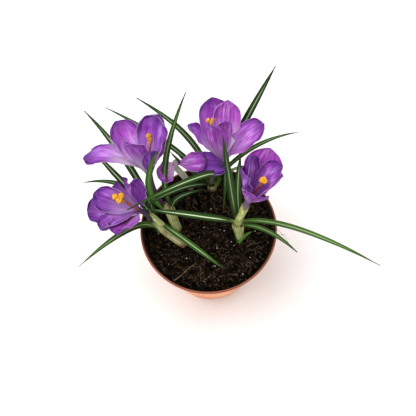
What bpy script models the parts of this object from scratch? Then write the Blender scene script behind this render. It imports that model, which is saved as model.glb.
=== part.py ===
# Potted crocus: five violet flowers and their narrow leaves in a small nursery pot.
# The frame: origin at the centre of the pot's underside, +Z up, -Y towards the front.
# Lengths in the tables are millimetres and angles are degrees.
import math

import bmesh
import bpy
from mathutils import Quaternion, Vector

MM = 0.001
GAP = 0.3                       # air kept between neighbouring solids

POT_HEIGHT = 75.0
RIM_RADIUS = 50.0
BASE_RADIUS = 34.0
POT_WALL = 1.2
RIM_BAND = 2.6                  # height of the rolled lip
RIM_STEP = 0.5                  # how far the lip stands out from the wall
FOOT_HEIGHT = 2.5
FOOT_WIDTH = 3.0                # flat ring the pot stands on
EDGE_BEVEL = 0.6                # softened corners of lip and foot
FOOT_SLOPE = 1.0
CENTRE_PAD = 15.0               # radius of the flat middle underneath
DRAIN_COUNT = 6
DRAIN_RADIUS = 3.5
DRAIN_RING = 23.0
POT_STEPS = 48

SOIL_DEPTH = 5.0                # soil edge below the lip
SOIL_CROWN = 1.5                # the soil's rise at its middle

LEAF_THICKNESS = 0.55
PETAL_THICKNESS = 0.45
THROAT_RING = 2.1               # radius on which six petals stand
CLAW_LIFT = 0.5                 # height of the petals' claws over the throat


def clear_scene():
    for item in list(bpy.data.objects):
        bpy.data.objects.remove(item, do_unlink=True)


def make_collection(name):
    collection = bpy.data.collections.new(name)
    bpy.context.scene.collection.children.link(collection)
    return collection


def make_material(name, colour, roughness, metallic=0.0):
    material = bpy.data.materials.new(name)
    material.use_nodes = True
    shader = material.node_tree.nodes["Principled BSDF"]
    shader.inputs["Base Color"].default_value = (*colour, 1.0)
    shader.inputs["Roughness"].default_value = roughness
    shader.inputs["Metallic"].default_value = metallic
    return material


def add_object(name, data, material, collection, location=(0, 0, 0), turn=0.0, parent=None):
    obj = bpy.data.objects.new(name, data)
    data.materials.append(material)
    obj.location = Vector(location) * MM
    obj.rotation_euler = (0, 0, math.radians(turn))
    obj.parent = parent
    collection.objects.link(obj)
    return obj


def turned(name, profile, steps, material, collection, location=(0, 0, 0)):
    mesh = bpy.data.meshes.new(name)
    points = [(radius * MM, 0, height * MM) for radius, height in profile]
    edges = [(i, i + 1) for i in range(len(points) - 1)]
    mesh.from_pydata(points, edges, [])
    obj = add_object(name, mesh, material, collection, location)
    screw = obj.modifiers.new("Turn", "SCREW")
    screw.steps = steps
    screw.render_steps = steps
    screw.use_merge_vertices = True
    screw.merge_threshold = 0.00001
    screw.use_smooth_shade = True
    return obj


def boolean(target, operand, operation):
    step = target.modifiers.new(operation.title(), "BOOLEAN")
    step.operation = operation
    step.solver = "EXACT"
    step.object = operand
    operand.hide_render = True
    operand.display_type = "WIRE"


def wall_radius(height):
    return BASE_RADIUS + (RIM_RADIUS - RIM_STEP - BASE_RADIUS) * height / POT_HEIGHT


def build_pot(parts, cutters):
    clay = make_material("terracotta_plastic", (0.52, 0.17, 0.08), 0.55)
    band_foot = POT_HEIGHT - RIM_BAND
    inner_floor = FOOT_HEIGHT + POT_WALL
    profile = [
        (0, inner_floor),
        (wall_radius(inner_floor) - POT_WALL, inner_floor),
        (wall_radius(POT_HEIGHT) - POT_WALL, POT_HEIGHT),
        (RIM_RADIUS - EDGE_BEVEL, POT_HEIGHT),
        (RIM_RADIUS, POT_HEIGHT - EDGE_BEVEL),
        (RIM_RADIUS - EDGE_BEVEL, band_foot),
        (wall_radius(band_foot), band_foot - EDGE_BEVEL),
        (wall_radius(EDGE_BEVEL), EDGE_BEVEL),
        (wall_radius(0) - EDGE_BEVEL, 0),
        (wall_radius(0) - FOOT_WIDTH, 0),
        (wall_radius(0) - FOOT_WIDTH - FOOT_SLOPE, FOOT_HEIGHT),
        (CENTRE_PAD + FOOT_SLOPE, FOOT_HEIGHT),
        (CENTRE_PAD, 0),
        (0, 0),
    ]
    pot = turned("pot", profile, POT_STEPS, clay, parts)
    for index in range(DRAIN_COUNT):
        angle = 2 * math.pi * index / DRAIN_COUNT
        place = Vector((DRAIN_RING * math.cos(angle), DRAIN_RING * math.sin(angle), inner_floor))
        mesh = bpy.data.meshes.new("drain_cutter")
        work = bmesh.new()
        bmesh.ops.create_cone(work, cap_ends=True, segments=12, radius1=DRAIN_RADIUS * MM,
                              radius2=DRAIN_RADIUS * MM, depth=12 * MM)
        work.to_mesh(mesh)
        work.free()
        cutter = bpy.data.objects.new("drain_cutter_%d" % index, mesh)
        cutter.location = place * MM
        cutters.objects.link(cutter)
        boolean(pot, cutter, "DIFFERENCE")


def build_soil(parts, pockets):
    peat = make_material("peat_soil", (0.02, 0.014, 0.01), 0.95)
    edge_top = POT_HEIGHT - SOIL_DEPTH
    floor = FOOT_HEIGHT + POT_WALL + GAP
    edge = wall_radius(edge_top) - POT_WALL - 2 * GAP
    profile = [
        (0, edge_top + SOIL_CROWN),
        (edge * 0.35, edge_top + SOIL_CROWN * 0.9),
        (edge * 0.65, edge_top + SOIL_CROWN * 0.6),
        (edge - 5, edge_top + SOIL_CROWN * 0.4),
        (edge - 1.5, edge_top),
        (edge - 0.2, edge_top - 1.6),
        (wall_radius(floor) - POT_WALL - 2 * GAP, floor),
        (0, floor),
    ]
    soil = turned("soil", profile, POT_STEPS, peat, parts)
    for pocket in pockets:
        boolean(soil, pocket, "DIFFERENCE")


# name: the corm's foot, radius and height, then its necks,
# each from inside the corm to its sheath's top, with its two radii
CORMS = {
    "corm_left": ((-22, -1, 44), 11.0, 15.0,
                  [((-20, 3, 54), (-27, 9.5, 89), 4.6, 3.8),
                   ((-20, -4, 54), (-17, -11.5, 71), 4.2, 3.6),
                   ((-15.5, -12.6, 70), (-34, -0.8, 79), 3.4, 3.2)]),
    "corm_right": ((20, -8, 44), 10.5, 15.0,
                   [((20, -11, 54), (20.8, -3, 87), 3.4, 4.2),
                    ((20.5, -14, 54), (21.4, -14.6, 79), 1.9, 0.8)]),
    "corm_back": ((-1, 27, 44), 11.0, 15.0,
                  [((2, 31, 54), (5, 34.5, 78), 4.2, 3.6),
                   ((-8, 31, 54), (-14, 37, 77.2), 3.0, 2.2)]),
}


def corm_body(name, foot, radius, height, material, collection):
    profile = [(0, height)]
    for step in range(1, 6):
        angle = math.pi * step / 6
        profile.append((radius * math.sin(angle) ** 0.8, height * (0.5 + 0.5 * math.cos(angle))))
    profile.append((0, 0))
    return turned(name, profile, 16, material, collection, foot)


def neck_body(name, start, end, radius_low, radius_high, material, collection):
    axis = Vector(end) - Vector(start)
    mesh = bpy.data.meshes.new(name)
    work = bmesh.new()
    bmesh.ops.create_cone(work, cap_ends=True, segments=12, radius1=radius_low * MM,
                          radius2=radius_high * MM, depth=axis.length * MM)
    turn = Vector((0, 0, 1)).rotation_difference(axis).to_matrix().to_4x4()
    bmesh.ops.transform(work, matrix=turn, verts=work.verts)
    work.to_mesh(mesh)
    work.free()
    return add_object(name, mesh, material, collection, (Vector(start) + Vector(end)) / 2)


def build_corms(parts, cutters):
    # every corm sits in a pocket of the soil that is one gap larger all round
    husk = make_material("corm_husk", (0.55, 0.52, 0.28), 0.6)
    pockets = []
    for name, (foot, radius, height, necks) in CORMS.items():
        corm = corm_body(name, foot, radius, height, husk, parts)
        lower = (foot[0], foot[1], foot[2] - GAP)
        pockets.append(corm_body(name + "_pocket", lower, radius + GAP, height + 2 * GAP, husk, cutters))
        for index, (start, end, low, high) in enumerate(necks):
            label = "%s_neck_%d" % (name, index)
            boolean(corm, neck_body(label, start, end, low, high, husk, cutters), "UNION")
            pockets.append(neck_body(label + "_pocket", start, end, low + GAP, high + GAP, husk, cutters))
    return pockets


def blade(name, spine, outline, section, cells, thickness, material, collection, **place):
    # a grid bent along its spine: x runs from root to tip, y from edge to edge
    along, across = cells
    work = bmesh.new()
    bmesh.ops.create_grid(work, x_segments=along, y_segments=across, size=1.0)
    for vert in work.verts:
        s = (vert.co.x + 1) / 2
        centre, side, normal = spine(s)
        shift, lift = section(vert.co.y, s)
        half = outline(s)
        vert.co = (centre + side * shift * half + normal * lift * half) * MM
    mesh = bpy.data.meshes.new(name)
    work.to_mesh(mesh)
    work.free()
    obj = add_object(name, mesh, material, collection, **place)
    shell = obj.modifiers.new("Thickness", "SOLIDIFY")
    shell.thickness = thickness * MM
    shell.offset = 0
    return obj


LEAF_CELLS = (14, 2)            # faces along and across a leaf
LEAF_CHANNEL = 0.28             # depth of the channel over half the width
LEAF_FOOT = 0.4                 # width at the root, as a share of the full width
LEAF_TIP = 0.13                 # and at the tip
LEAF_FULL = 0.3                 # where along the leaf it reaches its full width
LEAF_TAPER = 0.4                # and where it starts to taper
# name: root, shoulder and tip, width
LEAVES = {
    "leaf_left_long": ((-35.6, 2.0, 80.6), (-48, 36, 112), (-83, 75, 122), 4.8),
    "leaf_left_tall": ((-25.2, 11.6, 90.4), (-36, 22, 118), (-10, 74, 138), 4.2),
    "leaf_left_front": ((-36.4, -3.4, 80.2), (-43, 6, 102), (-92, -27, 82), 4.8),
    "leaf_left_inward": ((-24.2, 8.2, 90.0), (-27, 14, 101), (-2, 20, 96), 4.0),
    "leaf_left_middle": ((-33.4, 1.4, 80.8), (-55, 21, 106), (-80, 51, 110), 4.6),
    "leaf_left_side": ((-37.2, 0.4, 80.0), (-47, 36, 96), (-88, 32, 95), 4.0),
    "leaf_left_raised": ((-29.4, 8.2, 90.4), (-47, 12, 120), (-28, 23, 150), 4.4),
    "leaf_front_low": ((-32.4, 0.6, 83.0), (-16, -16, 92), (9, -35, 82), 4.0),
    "leaf_back_far_left": ((1.6, 34.6, 79.2), (-17, 47, 116), (-67, 74, 126), 4.0),
    "leaf_back_left": ((2.2, 36.8, 79.2), (1, 47, 122), (-45, 79, 128), 4.5),
    "leaf_back_right": ((7.0, 37.6, 79.2), (29, 53, 130), (51, 82, 150), 5.2),
    "leaf_back_side": ((8.0, 35.0, 79.2), (30, 50, 110), (69, 58, 104), 3.4),
    "leaf_centre_wide": ((7.4, 31.2, 79.2), (22, 32, 124), (-52, -4, 122), 5.2),
    "leaf_centre_under": ((2.8, 32.4, 79.2), (-16, 22, 106), (-42, 2, 112), 4.4),
    "leaf_right_back": ((22.6, 0.2, 88.2), (20, 14, 108), (25, 33, 118), 4.6),
    "leaf_right_tall": ((19.6, 0.4, 88.4), (16, 11, 122), (12, 26, 158), 4.6),
    "leaf_right_inward": ((17.4, -2.2, 88.2), (-8, -3, 104), (-44, 4, 104), 5.0),
    "leaf_right_long": ((24.6, -2.8, 88.2), (52, -8, 108), (118, -38, 78), 3.8),
    "leaf_right_low": ((23.8, -5.6, 88.0), (41, -8, 92), (61, -26, 82), 3.4),
}


def leaf_spine(root, shoulder, tip):
    # a quadratic curve from the root over the shoulder, measured from the root
    first = Vector(shoulder) - Vector(root)
    last = Vector(tip) - Vector(root)
    across = Vector((0, 0, 1)).cross(last).normalized()

    def at(s):
        centre = first * (2 * s * (1 - s)) + last * (s * s)
        tangent = (first * (1 - 2 * s) + last * s).normalized()
        side = (across - tangent * across.dot(tangent)).normalized()
        return centre, side, tangent.cross(side)
    return at


def leaf_outline(width):
    # narrow in the sheath, full width by a third, tapering over the last half
    def at(s):
        rise = LEAF_FOOT + (1 - LEAF_FOOT) * math.sin(math.pi / 2 * min(1, s / LEAF_FULL))
        taper = 1 - max(0, (s - LEAF_TAPER) / (1 - LEAF_TAPER)) ** 2
        return width / 2 * max(LEAF_TIP, rise * taper)
    return at


def leaf_section(v, s):
    # a shallow channel
    return v, LEAF_CHANNEL * v * v


def build_leaves(parts):
    green = make_material("leaf_green", (0.05, 0.14, 0.03), 0.45)
    for name, (root, shoulder, tip, width) in LEAVES.items():
        blade(name, leaf_spine(root, shoulder, tip), leaf_outline(width), leaf_section,
              LEAF_CELLS, LEAF_THICKNESS, green, parts, location=root)


STYLE_RADIUS = 0.5
PETAL_CELLS = (7, 4)            # faces along and across a petal
PETAL_WIDEST = 0.6              # where along the petal it is widest
PETAL_CLAW = 0.1                # width at the claw, as a share of the full width
PETAL_TIP = 0.22                # and at the tip
TWIST_DONE = 0.4                # where along the petal its face has turned
TUBE_RADIUS = 1.3
TUBE_FLARE = 1.2                # how much wider a flower tube is at its throat
TUBE_STEPS = 8
# letter: foot, knee and throat of the flower tube, lean of the flower and its bearing
FLOWERS = {
    "a": ((4.6, 36.2, 79.2), (5, 40, 94), (13, 35, 110), 32, 88),
    "b": ((-27.2, 9.2, 90.2), (-36, 10, 100), (-38, 25, 115), 33, 100),
    "c": ((-34.6, -1.2, 80.2), (-39, 2, 90), (-47, 7, 95), 48, 175),
    "d": ((20.8, -3.4, 88.2), (22, -6, 98), (27, -1, 118), 22, 35),
    "e": ((-14, 37, 78.6), (-15, 37, 90), (-21, 39, 103), 50, -20),
}
# each petal: bearing round the flower, opening at the foot and the tip, length, width,
# cupping, and the twist that turns its face
PETALS = {
    "a": [(123, 14, 25, 44, 20, 30, -20), (44, 2, 12, 43, 15, 40, 40),
          (172, 32, 48, 33, 10, 30, -20), (-8, 29, 50, 39, 18, 25, 45),
          (-114, 28, 18, 38, 17, 50, 10), (-60, 12, 13, 37, 12, 50, 0)],
    "b": [(140, 12, 33, 41, 17, 25, -15), (28, 7, 23, 41, 18, 30, 20),
          (186, 47, 88, 45, 16, 20, -30), (-112, 24, 24, 35, 16, 45, 0),
          (-20, 31, 36, 35, 13, 30, 0), (-65, 38, 34, 33, 12, 35, 0)],
    "c": [(-170, 22, 46, 36, 16, 30, -10), (141, 0, 24, 33, 13, 30, 0),
          (97, 31, 54, 26, 16, 30, 0), (26, 54, 64, 26, 14, 35, 30),
          (-115, 12, 35, 28, 12, 30, -10), (-71, 54, 61, 27, 18, 30, -30)],
    "d": [(72, 18, 24, 38, 20, 35, 0), (136, 11, 17, 36, 13, 40, 0),
          (178, 26, 26, 32, 10, 40, 0), (11, 4, 16, 36, 13, 40, 5),
          (-34, 23, 27, 33, 13, 35, 0), (-112, 30, 25, 34, 15, 45, 0)],
    "e": [(-125, 80, 130, 18, 12, 30, 0), (22, 12, 36, 24, 13, 20, 0),
          (-21, 37, 62, 29, 11, 20, 0)],
}


# flower letter: where its stigma's head stands from the throat, head radius
STIGMAS = {
    "a": ((-7, 17, 22), 2.3),
    "b": ((1, 16, 20), 1.6),
    "c": ((-13, 4, 15), 2.4),
    "d": ((9, 3, 22), 2.6),
}


def flower_frame(letter, frames):
    foot, knee, throat, lean, bearing = FLOWERS[letter]
    frame = bpy.data.objects.new("flower_frame_" + letter, None)
    across = Vector((-math.sin(math.radians(bearing)), math.cos(math.radians(bearing)), 0))
    frame.rotation_mode = "QUATERNION"
    frame.rotation_quaternion = Quaternion(across, math.radians(lean))
    frame.location = Vector(throat) * MM
    frames.objects.link(frame)
    return frame


def petal_spine(start, end, length, twist):
    # an arc that opens evenly from the flower's own axis, its face turning above the claw
    first = math.radians(start)
    swing = math.radians(end - start) or 1e-6

    def at(s):
        opening = first + swing * s
        centre = Vector((THROAT_RING + length * (math.cos(first) - math.cos(opening)) / swing, 0,
                         CLAW_LIFT + length * (math.sin(opening) - math.sin(first)) / swing))
        tangent = Vector((math.sin(opening), 0, math.cos(opening)))
        turn = Quaternion(tangent, math.radians(twist) * min(1, s / TWIST_DONE))
        side = turn @ Vector((0, 1, 0))
        return centre, side, tangent.cross(side)
    return at


def petal_outline(width):
    # a narrow claw that widens to a broad, round-ended blade
    def at(s):
        if s < PETAL_WIDEST:
            rise = math.sin(math.pi / 2 * s / PETAL_WIDEST) ** 1.5
            return width / 2 * (PETAL_CLAW + (1 - PETAL_CLAW) * rise)
        beyond = (s - PETAL_WIDEST) / (1 - PETAL_WIDEST)
        return width / 2 * max(PETAL_TIP, math.sqrt(max(0, 1 - beyond ** 3)))
    return at


def petal_section(cupping):
    # an arc across the petal, hollow towards the flower's axis
    bend = math.radians(cupping)

    def at(v, s):
        return math.sin(bend * v) / bend, (1 - math.cos(bend * v)) / bend
    return at


def tube(name, points, radii, material, collection, sides=2, parent=None):
    curve = bpy.data.curves.new(name, "CURVE")
    curve.dimensions = "3D"
    curve.bevel_depth = MM
    curve.bevel_resolution = sides
    curve.use_fill_caps = True
    spline = curve.splines.new("POLY")
    spline.points.add(len(points) - 1)
    for knot, point, radius in zip(spline.points, points, radii):
        knot.co = (*(Vector(point) * MM), 1)
        knot.radius = radius
    return add_object(name, curve, material, collection, parent=parent)


def build_stem(letter, parts, material):
    foot, knee, throat, lean, bearing = FLOWERS[letter]
    foot, knee, throat = Vector(foot), Vector(knee), Vector(throat)
    heading = Vector((math.cos(math.radians(bearing)), math.sin(math.radians(bearing)), 0))
    axis = heading * math.sin(math.radians(lean)) + Vector((0, 0, math.cos(math.radians(lean))))
    end = throat - axis * GAP
    neck = end - axis * (end - foot).length / 4
    points, radii = [], []
    for step in range(TUBE_STEPS + 1):
        s = step / TUBE_STEPS
        points.append(foot * (1 - s) ** 3 + knee * (3 * s * (1 - s) ** 2)
                      + neck * (3 * s * s * (1 - s)) + end * s ** 3)
        radii.append(TUBE_RADIUS + TUBE_FLARE * s ** 4)
    tube("stem_" + letter, points, radii, material, parts)


def build_flowers(parts, frames):
    violet = make_material("petal_violet", (0.25, 0.06, 0.45), 0.5)
    mauve = make_material("stem_mauve", (0.22, 0.12, 0.25), 0.5)
    gold = make_material("stigma_orange", (0.85, 0.35, 0.02), 0.6)
    for letter, petals in PETALS.items():
        build_stem(letter, parts, mauve)
        frame = flower_frame(letter, frames)
        for number, (bearing, start, end, length, width, cupping, twist) in enumerate(petals, 1):
            blade("petal_%s_%d" % (letter, number), petal_spine(start, end, length, twist),
                  petal_outline(width), petal_section(cupping), PETAL_CELLS, PETAL_THICKNESS,
                  violet, parts, turn=bearing, parent=frame)
        if letter in STIGMAS:
            build_stigma(letter, parts, gold)


def build_stigma(letter, parts, material):
    reach, radius = STIGMAS[letter]
    height = Vector(reach).length
    profile = [
        (0, height + radius),
        (radius * 0.7, height + radius * 0.7),
        (radius, height),
        (radius * 0.6, height - radius * 0.8),
        (STYLE_RADIUS, height - radius * 1.5),
        (STYLE_RADIUS, CLAW_LIFT),
        (0, CLAW_LIFT),
    ]
    stigma = turned("stigma_" + letter, profile, 10, material, parts, FLOWERS[letter][2])
    stigma.rotation_mode = "QUATERNION"
    stigma.rotation_quaternion = Vector((0, 0, 1)).rotation_difference(Vector(reach))


def main():
    clear_scene()
    parts = make_collection("potted_crocus")
    cutters = make_collection("cutters")
    build_pot(parts, cutters)
    pockets = build_corms(parts, cutters)
    build_soil(parts, pockets)
    build_leaves(parts)
    build_flowers(parts, cutters)
    bpy.context.view_layer.update()


main()
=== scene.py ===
import math
import random
import bpy
from mathutils import Matrix, Quaternion, Vector, noise


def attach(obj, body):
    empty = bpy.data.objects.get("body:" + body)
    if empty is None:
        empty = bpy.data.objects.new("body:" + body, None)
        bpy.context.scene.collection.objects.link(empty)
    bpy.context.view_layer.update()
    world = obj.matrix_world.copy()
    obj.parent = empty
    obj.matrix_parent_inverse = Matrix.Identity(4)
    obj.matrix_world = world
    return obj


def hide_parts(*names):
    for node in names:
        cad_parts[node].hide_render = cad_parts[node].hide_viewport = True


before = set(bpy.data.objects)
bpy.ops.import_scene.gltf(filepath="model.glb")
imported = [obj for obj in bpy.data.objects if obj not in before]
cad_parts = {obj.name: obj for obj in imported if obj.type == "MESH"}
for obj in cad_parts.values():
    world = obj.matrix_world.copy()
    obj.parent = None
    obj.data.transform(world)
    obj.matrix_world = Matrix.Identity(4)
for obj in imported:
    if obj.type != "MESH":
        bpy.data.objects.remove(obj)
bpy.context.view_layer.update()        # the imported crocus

mm = 0.001
weldGap = 0.000004                 # points closer than this many metres are one point
up = Vector((0, 0, 1))


def deselectAll():
    if bpy.context.object and bpy.context.object.mode != "OBJECT":
        bpy.ops.object.mode_set(mode="OBJECT")
    bpy.ops.object.select_all(action="DESELECT")


def pick(piece):
    deselectAll()
    piece.select_set(True)
    bpy.context.view_layer.objects.active = piece


def applyModifier(piece, kind, **settings):
    pick(piece)
    modifier = piece.modifiers.new(kind.title(), kind)
    for key, value in settings.items():
        setattr(modifier, key, value)
    bpy.ops.object.modifier_apply(modifier=modifier.name)


def smooth(piece, degrees):
    pick(piece)
    bpy.ops.object.shade_smooth_by_angle(angle=math.radians(degrees))


def selectRim(piece):
    # edit mode, with only the outer loop of edges selected
    pick(piece)
    bpy.ops.object.mode_set(mode="EDIT")
    bpy.ops.mesh.select_mode(type="EDGE")
    bpy.ops.mesh.select_all(action="SELECT")
    bpy.ops.mesh.region_to_loop()


def closeRim():
    # fills the selected loop and turns the whole skin outward
    bpy.ops.mesh.edge_face_add()
    bpy.ops.mesh.select_all(action="SELECT")
    bpy.ops.mesh.normals_make_consistent(inside=False)
    bpy.ops.mesh.select_mode(type="VERT")
    bpy.ops.object.mode_set(mode="OBJECT")


def weld(piece, capped=False):
    # joins the seam of a rolled grid and, where asked, closes its open ends
    pick(piece)
    bpy.ops.object.mode_set(mode="EDIT")
    bpy.ops.mesh.select_all(action="SELECT")
    bpy.ops.mesh.remove_doubles(threshold=weldGap)
    if capped:
        bpy.ops.mesh.select_all(action="DESELECT")
        bpy.ops.mesh.select_mode(type="EDGE")
        bpy.ops.mesh.select_non_manifold(extend=False, use_wire=False, use_multi_face=False,
                                         use_non_contiguous=False, use_verts=False)
        bpy.ops.mesh.fill_holes(sides=0)
        bpy.ops.mesh.select_all(action="SELECT")
        bpy.ops.mesh.select_mode(type="VERT")
    bpy.ops.mesh.normals_make_consistent(inside=False)
    bpy.ops.object.mode_set(mode="OBJECT")


def bend01(low, high, value):      # a smooth step from 0 to 1
    t = min(1, max(0, (value - low) / (high - low)))
    return t * t * (3 - 2 * t)


def ripple(x, y, seed):            # soft noise between about -1 and 1
    return noise.noise(Vector((x, y, seed * 7.31)))


def sheetPiece(name, along, across, place):
    # a grid whose point (s, v) goes to place(s, v), in millimetres
    deselectAll()
    bpy.ops.mesh.primitive_grid_add(x_subdivisions=along, y_subdivisions=across, size=2, calc_uvs=True)
    piece = bpy.context.object
    piece.name = name
    piece.data.name = name
    for vert in piece.data.vertices:
        vert.co = place((vert.co.x + 1) / 2, vert.co.y) * mm
    return piece


def tubePiece(name, along, around, centreLine, radiusAt):
    # a grid rolled round a centre line, welded at its seam and closed at both ends
    def place(s, v):
        centre, side, front = centreLine(s)
        angle = math.pi * v
        radius = radiusAt(s, angle)
        return centre + (side * math.cos(angle) + front * math.sin(angle)) * radius
    piece = sheetPiece(name, along, around, place)
    weld(piece, capped=True)
    return piece


def curveLine(points):
    # a smooth line from the first point to the last, pulled by those between, and its
    # two directions across
    knots = [Vector(p) for p in points]

    def at(s):
        level = knots
        while len(level) > 2:
            level = [a.lerp(b, s) for a, b in zip(level, level[1:])]
        centre = level[0].lerp(level[1], s)
        tangent = (level[1] - level[0]).normalized()
        reference = Vector((1, 0.13, 0.07)).normalized()
        side = (reference - tangent * reference.dot(tangent)).normalized()
        return centre, side, tangent.cross(side)
    return at


def joinPieces(name, pieces):
    deselectAll()
    for piece in pieces:
        piece.select_set(True)
    bpy.context.view_layer.objects.active = pieces[0]
    bpy.ops.object.join()
    pieces[0].name = name
    pieces[0].data.name = name
    return pieces[0]


def paint(piece, *finishes):
    for finish in finishes:
        piece.data.materials.append(finish)


def settle(piece, slot, *nodes):
    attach(piece, "root")
    if nodes:
        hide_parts(*nodes)


def tone(piece, **values):
    # one number each for the whole piece, read by its material
    for key, value in values.items():
        layer = piece.data.attributes.new(key, "FLOAT", "POINT")
        layer.data.foreach_set("value", [value] * len(piece.data.vertices))


class Value:
    # a value socket that does maths
    def __init__(self, finish, socket):
        self.finish = finish
        self.socket = socket

    def maths(self, operation, *terms, clamp=False):
        return self.finish.value("ShaderNodeMath", {"operation": operation, "use_clamp": clamp},
                                 dict(enumerate(terms)))

    def __add__(self, other):
        return self.maths("ADD", self, other)

    def __sub__(self, other):
        return self.maths("SUBTRACT", self, other)

    def __rsub__(self, other):
        return self.maths("SUBTRACT", other, self)

    def __mul__(self, other):
        return self.maths("MULTIPLY", self, other)

    def __truediv__(self, other):
        return self.maths("DIVIDE", self, other)

    def __pow__(self, other):
        return self.maths("POWER", self, other)

    def __abs__(self):
        return self.maths("ABSOLUTE", self)

    __radd__ = __add__
    __rmul__ = __mul__

    def clamped(self):
        return self.maths("ADD", self, 0.0, clamp=True)

    def step(self, low, high):
        # 0 below low, 1 above high, smooth between; low may be above high
        return self.finish.value("ShaderNodeMapRange", {"interpolation_type": "SMOOTHSTEP"},
                                 {"Value": self, "From Min": low, "From Max": high})


class Finish:
    # one material: a Principled shader and the nodes that feed it
    def __init__(self, name, **shader):
        self.material = bpy.data.materials.new(name)
        self.material.use_nodes = True
        self.tree = self.material.node_tree
        self.shader = self.tree.nodes["Principled BSDF"]
        self.feed(self.shader, {key.replace("_", " "): value for key, value in shader.items()})

    def feed(self, node, inputs):
        for key, value in inputs.items():
            socket = node.inputs[key]
            if isinstance(value, Value):
                value = value.socket
            if isinstance(value, bpy.types.NodeSocket):
                self.tree.links.new(value, socket)
            elif socket.type == "RGBA" and len(value) == 3:
                socket.default_value = (*value, 1)
            else:
                socket.default_value = value

    def node(self, kind, settings=None, inputs=None):
        made = self.tree.nodes.new(kind)
        for key, value in (settings or {}).items():
            setattr(made, key, value)
        self.feed(made, inputs or {})
        return made

    def value(self, kind, settings=None, inputs=None, out=0):
        return Value(self, self.node(kind, settings, inputs).outputs[out])

    def mix(self, first, second, amount):
        made = self.node("ShaderNodeMix", {"data_type": "RGBA"}, {0: amount, 6: first, 7: second})
        return made.outputs[2]

    def along(self):
        # the piece's own UV: from root to tip, and from edge to edge
        split = self.node("ShaderNodeSeparateXYZ", {}, {0: self.node("ShaderNodeUVMap").outputs[0]})
        return Value(self, split.outputs[0]), Value(self, split.outputs[1])

    def place(self):
        return self.node("ShaderNodeTexCoord").outputs["Object"]

    def height(self):
        return Value(self, self.node("ShaderNodeSeparateXYZ", {}, {0: self.place()}).outputs[2]) / mm

    def number(self, name):
        return self.value("ShaderNodeAttribute", {"attribute_name": name}, {}, 2)

    def vector(self, *parts):
        return self.node("ShaderNodeCombineXYZ", {}, dict(enumerate(parts))).outputs[0]

    def cloud(self, vector, scale, detail=3.0, roughness=0.5):
        return self.value("ShaderNodeTexNoise", {}, {"Vector": vector, "Scale": scale, "Detail": detail,
                                                     "Roughness": roughness})

    def bump(self, height, strength, distance):
        made = self.node("ShaderNodeBump", {}, {"Height": height, "Strength": strength,
                                                "Distance": distance})
        self.feed(self.shader, {"Normal": made.outputs[0]})

    def done(self, **varying):
        self.feed(self.shader, {key.replace("_", " "): value for key, value in varying.items()})
        return self.material


studio = {
    "camera": (0.0005, -0.1529, 0.447),
    "tilt": 24.3,                  # degrees from looking straight down
    "roll": -3.4,
    "lens": 47.6,
    "floor": (0.93, 0.93, 0.925),
    "floorSize": 4,
    "sky": 0.54,
    "aim": (0, 0, 0.08),           # what the lamps point at
    # place, width and power of each
    "lamps": [((-0.35, 0.05, 1.0), 1.0, 9.5), ((0.70, 0.55, 0.8), 0.8, 3.5),
              ((0.0, -0.9, 0.55), 0.6, 1.2)],
}


def buildStudio():
    cameraData = bpy.data.cameras.new("camera")
    cameraData.lens = studio["lens"]
    cameraData.sensor_width = 36
    cameraData.clip_start = 0.01
    camera = bpy.data.objects.new("camera", cameraData)
    turn = Matrix.Rotation(math.radians(studio["tilt"]), 4, "X")
    roll = Matrix.Rotation(math.radians(studio["roll"]), 4, "Z")
    camera.matrix_world = Matrix.Translation(studio["camera"]) @ turn @ roll
    bpy.context.scene.collection.objects.link(camera)
    bpy.context.scene.camera = camera

    world = bpy.data.worlds.new("studioSky")
    world.use_nodes = True
    world.node_tree.nodes["Background"].inputs["Color"].default_value = (1, 1, 1, 1)
    world.node_tree.nodes["Background"].inputs["Strength"].default_value = studio["sky"]
    bpy.context.scene.world = world

    for index, (spot, size, power) in enumerate(studio["lamps"]):
        lampData = bpy.data.lights.new("softbox%d" % index, "AREA")
        lampData.shape = "DISK"
        lampData.size = size
        lampData.energy = power
        lamp = bpy.data.objects.new("softbox%d" % index, lampData)
        lamp.location = spot
        lamp.rotation_euler = (Vector(spot) - Vector(studio["aim"])).to_track_quat("Z", "Y").to_euler()
        bpy.context.scene.collection.objects.link(lamp)

    deselectAll()
    bpy.ops.mesh.primitive_plane_add(size=studio["floorSize"])
    floor = bpy.context.object
    floor.name = "studioFloor"
    paper = Finish("studioPaper", Roughness=0.9)
    grain = paper.cloud(paper.place(), 6.0)
    paint(floor, paper.done(Base_Color=paper.mix(studio["floor"], (0.9, 0.9, 0.9), grain * 0.2)))
    bpy.context.scene.view_settings.view_transform = "Standard"
    print("studio ready")


pot = {
    "height": 75.0,
    "rim": 50.0,
    "base": 34.0,
    "wall": 1.2,
    "band": 2.6,                   # height of the rolled lip
    "step": 0.5,                   # how far it stands out
    "foot": 2.5,
    "segments": 144,
    "drains": 6,
    "drainRing": 23.0,
    "drainRadius": 3.5,
    "drainSides": 24,
    "drillLength": 12.0,
}


def wallRadius(z):
    top = pot["rim"] - pot["step"]
    return pot["base"] + (top - pot["base"]) * z / pot["height"]


def ringStack(name, rings, segments):
    # a circle drawn out ring by ring, then closed at its far end
    deselectAll()
    radius, z = rings[0]
    bpy.ops.mesh.primitive_circle_add(vertices=segments, radius=radius * mm, fill_type="NGON",
                                      location=(0, 0, z * mm))
    piece = bpy.context.object
    piece.name = name
    piece.data.name = name
    bpy.ops.object.transform_apply(location=True)
    selectRim(piece)
    for newRadius, newZ in rings[1:]:
        bpy.ops.mesh.extrude_edges_move(TRANSFORM_OT_translate={"value": (0, 0, (newZ - z) * mm)})
        grow = newRadius / radius
        bpy.ops.transform.resize(value=(grow, grow, 1), center_override=(0, 0, newZ * mm))
        radius, z = newRadius, newZ
    closeRim()
    return piece


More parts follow.
